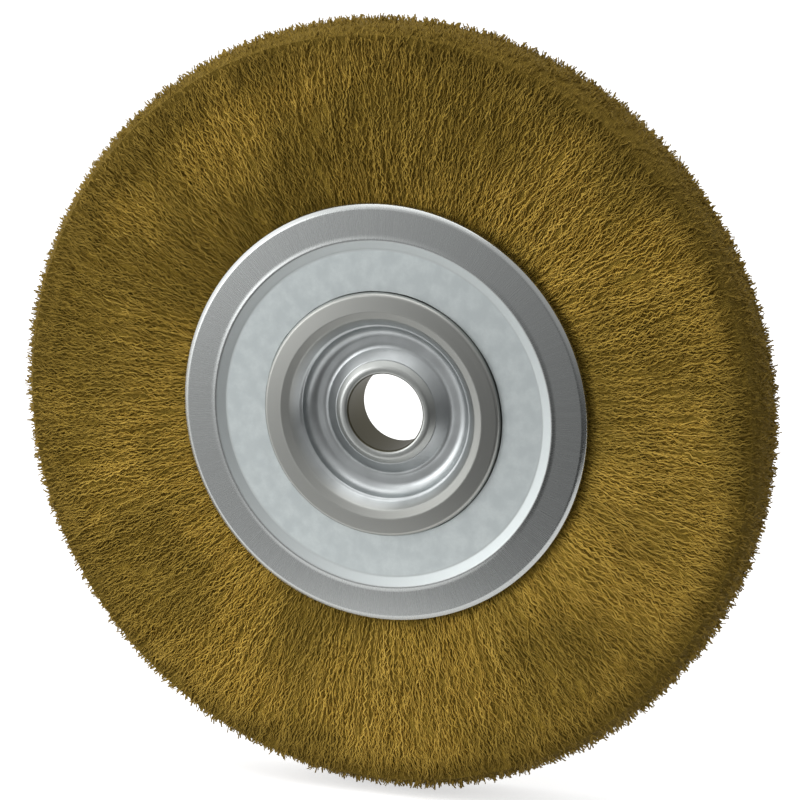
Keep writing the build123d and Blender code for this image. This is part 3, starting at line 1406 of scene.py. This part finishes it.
@dataclass
class PackedCore:
    """The dense inside of both rows, one closed ring under the outer wires.

    Attributes:
        shape: The outline that the wires fill.
        inner_radius: Where the ring starts, under the side plates.
        depth: Share of the flank's height that the ring reaches.
        inset: Distance of the ring inside the crown.
        relief: Depth of the grooves between strands.
        strands: Number of strands round the ring.
        flank_stations: Number of rings of vertices up each flank.
        crown_stations: Number of rings from each flank to the mid-plane.
    """

    shape: FillShape = field(default_factory=FillShape)
    inner_radius: float = 50.0 * MM
    depth: float = 0.90
    inset: float = 2.2 * MM
    relief: float = 0.3 * MM
    strands: int = 720
    flank_stations: int = 10
    crown_stations: int = 4

    def build(self, material: bpy.types.Material) -> bpy.types.Object:
        """Build the ring and groove it like packed wires.

        Args:
            material: The ring's finish.

        Returns:
            The ring.
        """
        stations = np.linspace(self.inner_radius, self.shape.flank_radius - self.inset, self.flank_stations)
        heights = self.depth * self.shape.flank(stations)
        crown_heights = np.linspace(heights[-1], 0, self.crown_stations)[1:]
        outer = [Corner(self.shape.crown(np.array(h)).item() - self.inset, h) for h in crown_heights]
        flank = [Corner(radius, height) for radius, height in zip(stations, heights)]
        half = flank + outer
        rear = [Corner(corner.radius, -corner.height) for corner in reversed(half[:-1])]
        piece = turned_piece("wire_core", half + rear, Side.REAR, self.strands)
        places = vertex_array(piece)
        radius = np.hypot(places[:, 0], places[:, 2])
        rng = np.random.default_rng(SEED)
        outside = radius > self.shape.waist_radius
        groove = rng.uniform(-self.relief, self.relief, len(places)) * outside
        places[:, 1] += np.sign(places[:, 1]) * groove
        move_vertices(piece, places)
        finish_piece(piece, material, "brassed_wire")
        return piece


# ---------------------------------------------------------------------------------------------
# Studio
# ---------------------------------------------------------------------------------------------


@dataclass(frozen=True)
class AreaLight:
    """A soft rectangular light.

    Attributes:
        name: Name of the light.
        place: Position of its middle.
        size: Length of its sides.
        power: Its power in watts.
    """

    name: str
    place: tuple[float, float, float]
    size: float
    power: float

    def build(self) -> None:
        """Put the light in the scene, facing the wheel."""
        data = bpy.data.lights.new(self.name, "AREA")
        data.size = self.size
        data.energy = self.power
        lamp = bpy.data.objects.new(self.name, data)
        lamp.location = self.place
        lamp.rotation_euler = Vector(self.place).to_track_quat("Z", "Y").to_euler()
        bpy.context.scene.collection.objects.link(lamp)


@dataclass
class Studio:
    """Pale floor, soft light and the camera.

    Attributes:
        camera_azimuth: Degrees round to the wheel's right, from straight in front.
        camera_elevation: Degrees above the wheel's axis.
        camera_distance: Distance from the wheel's centre.
        aim: How far the camera looks to the right of the centre and above it.
        lens: Focal length in millimetres on a 36 mm sensor.
        floor_level: Height of the floor.
        floor_front: Y of its front edge.
        floor_size: Its width and depth.
        floor_shade: Its own brightness.
        floor_glow: Brightness that the camera sees on top of the floor's own.
        sky_above: Extra brightness of the surroundings overhead.
        sky_below: Extra brightness of the surroundings underneath.
        sky_left: Brightness of the surroundings on the left.
        sky_far_left: Extra brightness of the surroundings far to the left.
        sky_right: Brightness of the surroundings on the right.
        above_edge: Z of the directions where the sky above starts and is full.
        below_edge: Z where the sky below starts and is full.
        left_edge: X where the sky on the left starts and is full.
        far_left_edge: X where the sky far to the left starts and is full.
        behind_edge: Y where the sky behind starts and is full.
        sky_behind: Factor on the brightness behind the wheel.
        backdrop_edge: How far back a mirrored direction points where the white starts and is full.
        lights: The soft lights.
    """

    camera_azimuth: float = 19.3
    camera_elevation: float = 13.3
    camera_distance: float = 0.973
    aim: tuple[float, float] = (1.75 * MM, 1.85 * MM)
    lens: float = 171.0
    floor_level: float = -101.6 * MM
    floor_front: float = -0.12
    floor_size: tuple[float, float] = (6.0, 5.0)
    floor_shade: float = 0.60
    floor_glow: float = 0.62
    sky_above: float = 0.65
    sky_below: float = 0.4
    sky_left: float = 0.50
    sky_far_left: float = 0.45
    sky_right: float = 0.04
    above_edge: tuple[float, float] = (-0.35, 0.65)
    below_edge: tuple[float, float] = (-0.55, -0.85)
    left_edge: tuple[float, float] = (0.0, -0.44)
    far_left_edge: tuple[float, float] = (-0.55, -0.9)
    behind_edge: tuple[float, float] = (-0.2, 0.6)
    sky_behind: float = 1.2
    backdrop_edge: tuple[float, float] = (0.1, 0.4)
    lights: tuple[AreaLight, ...] = (
        AreaLight("key_above", (-0.06, -0.25, 1.1), 1.0, 5.6),
        AreaLight("side_left", (-1.1, -0.5, 0.35), 1.3, 3.5),
        AreaLight("front_fill", (-0.46, -0.46, 0.12), 0.3, 0.8),
    )

    def add_camera(self) -> None:
        """Set the camera up to look at the wheel from the front right, a little above."""
        azimuth, elevation = math.radians(self.camera_azimuth), math.radians(self.camera_elevation)
        towards = Vector(
            (
                math.sin(azimuth) * math.cos(elevation),
                -math.cos(azimuth) * math.cos(elevation),
                math.sin(elevation),
            )
        )
        data = bpy.data.cameras.new("camera")
        data.lens = self.lens
        data.sensor_width = 36.0
        data.clip_start = 0.05
        data.clip_end = 20.0
        camera = bpy.data.objects.new("camera", data)
        turn = towards.to_track_quat("Z", "Y")
        across, upwards = turn @ Vector((1, 0, 0)), turn @ Vector((0, 1, 0))
        camera.location = self.camera_distance * towards + self.aim[0] * across + self.aim[1] * upwards
        camera.rotation_euler = turn.to_euler()
        bpy.context.scene.collection.objects.link(camera)
        bpy.context.scene.camera = camera

    def add_floor(self) -> None:
        """Lay a pale floor under the wheel."""
        deselect_all()
        width, depth = self.floor_size
        middle = self.floor_front + depth / 2
        bpy.ops.mesh.primitive_plane_add(size=1.0, location=(0, middle, self.floor_level))
        floor = bpy.context.object
        floor.name = "studio_floor"
        floor.scale = (width, depth, 1.0)
        bpy.ops.object.transform_apply(location=True, rotation=True, scale=True)
        material, tree, shader = new_material("studio_floor")
        shader.inputs["Base Color"].default_value = (*[self.floor_shade] * 3, 1.0)
        shader.inputs["Roughness"].default_value = 0.9
        shader.inputs["Specular IOR Level"].default_value = 0.0
        glow = add_math(tree, "MULTIPLY", add_sight(tree, 1.0), self.floor_glow)
        white = add_mix(tree, glow, (0.0, 0.0, 0.0), (1.0, 1.0, 1.0))
        tree.links.new(white, shader.inputs["Emission Color"])
        shader.inputs["Emission Strength"].default_value = 1.0
        floor.data.materials.append(material)

    def add_world(self) -> None:
        """Surround the wheel with light that is bright above and on the left, before a white backdrop."""
        world = bpy.data.worlds.new("studio")
        world.use_nodes = True
        tree = world.node_tree
        background = tree.nodes["Background"]
        coordinates = add_node(tree, "ShaderNodeTexCoord")
        parts = add_node(tree, "ShaderNodeSeparateXYZ")
        tree.links.new(coordinates.outputs["Generated"], parts.inputs["Vector"])
        above = add_range(tree, parts.outputs["Z"], self.above_edge, (0.0, self.sky_above))
        left = add_range(tree, parts.outputs["X"], self.left_edge, (self.sky_right, self.sky_left))
        far_left = add_range(tree, parts.outputs["X"], self.far_left_edge, (0.0, self.sky_far_left))
        behind = add_range(tree, parts.outputs["Y"], self.behind_edge, (1.0, self.sky_behind))
        level = add_math(tree, "ADD", above, add_math(tree, "MULTIPLY", left, behind))
        below = add_range(tree, parts.outputs["Z"], self.below_edge, (0.0, self.sky_below))
        level = add_math(tree, "ADD", add_math(tree, "ADD", level, far_left), below)
        shade = add_node(tree, "ShaderNodeCombineColor")
        for channel in shade.inputs:
            tree.links.new(level, channel)
        backdrop = add_range(tree, parts.outputs["Y"], self.backdrop_edge, (0.0, 1.0))
        colour = add_mix(tree, add_sight(tree, backdrop), shade.outputs["Color"], (1.0, 1.0, 1.0))
        tree.links.new(colour, background.inputs["Color"])
        bpy.context.scene.world = world

    def build(self) -> None:
        """Build the whole studio."""
        self.add_world()
        self.add_floor()
        for light in self.lights:
            light.build()
        self.add_camera()
        bpy.context.scene.view_settings.view_transform = "Standard"
        LOG.info("studio: %d lights", len(self.lights))


# ---------------------------------------------------------------------------------------------
# The wheel
# ---------------------------------------------------------------------------------------------


@dataclass
class Wheel:
    """The whole wheel brush."""

    bundles: int = 12

    def build(self) -> None:
        """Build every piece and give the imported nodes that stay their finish."""
        plate = PlatedSheet().build()
        cup = DrawnSteel(
            "cup_steel",
            light=(0.47, 0.495, 0.50),
            dark=(0.40, 0.42, 0.425),
            rubbed=(0.33, 0.335, 0.318),
            roughness=0.37,
        ).build()
        tube = TubeSteel().build()
        ring = DrawnSteel(
            "ring_steel",
            light=(0.42, 0.42, 0.42),
            dark=(0.34, 0.34, 0.34),
            rubbed=(0.40, 0.40, 0.40),
            roughness=0.40,
        ).build()
        wire = BrassWire().build()
        for side in Side:
            SidePlate(side).build(plate)
            HubCup(side).build(cup)
            self.finish(f"{side.word}_retaining_ring", ring)
        ArborTube().build(tube)
        gauge = WireGauge()
        sample = WireBundle(Side.FRONT, 1)
        masters = {
            "long": gauge.master("long_wire", sample.shape.brush_radius - sample.root_radius),
            "stretch": gauge.master("stretch_wire", sample.stretch_length),
            "tip": gauge.master("tip_wire", sample.tip_length),
        }
        for side in Side:
            for number in range(1, self.bundles + 1):
                WireBundle(side, number, self.bundles).build(masters, wire)
        PackedCore().build(PackedWires().build())

    def finish(self, node: str, material: bpy.types.Material) -> None:
        """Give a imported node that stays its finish.

        Args:
            node: Name of the node.
            material: Its finish.
        """
        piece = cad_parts[node]
        piece.data.materials.clear()
        piece.data.materials.append(material)
        LOG.info("%s: finished", node)


def main() -> None:
    """Build the wheel and the studio."""
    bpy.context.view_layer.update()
    Wheel().build()
    Studio().build()


if __name__ == "__main__":
    main()
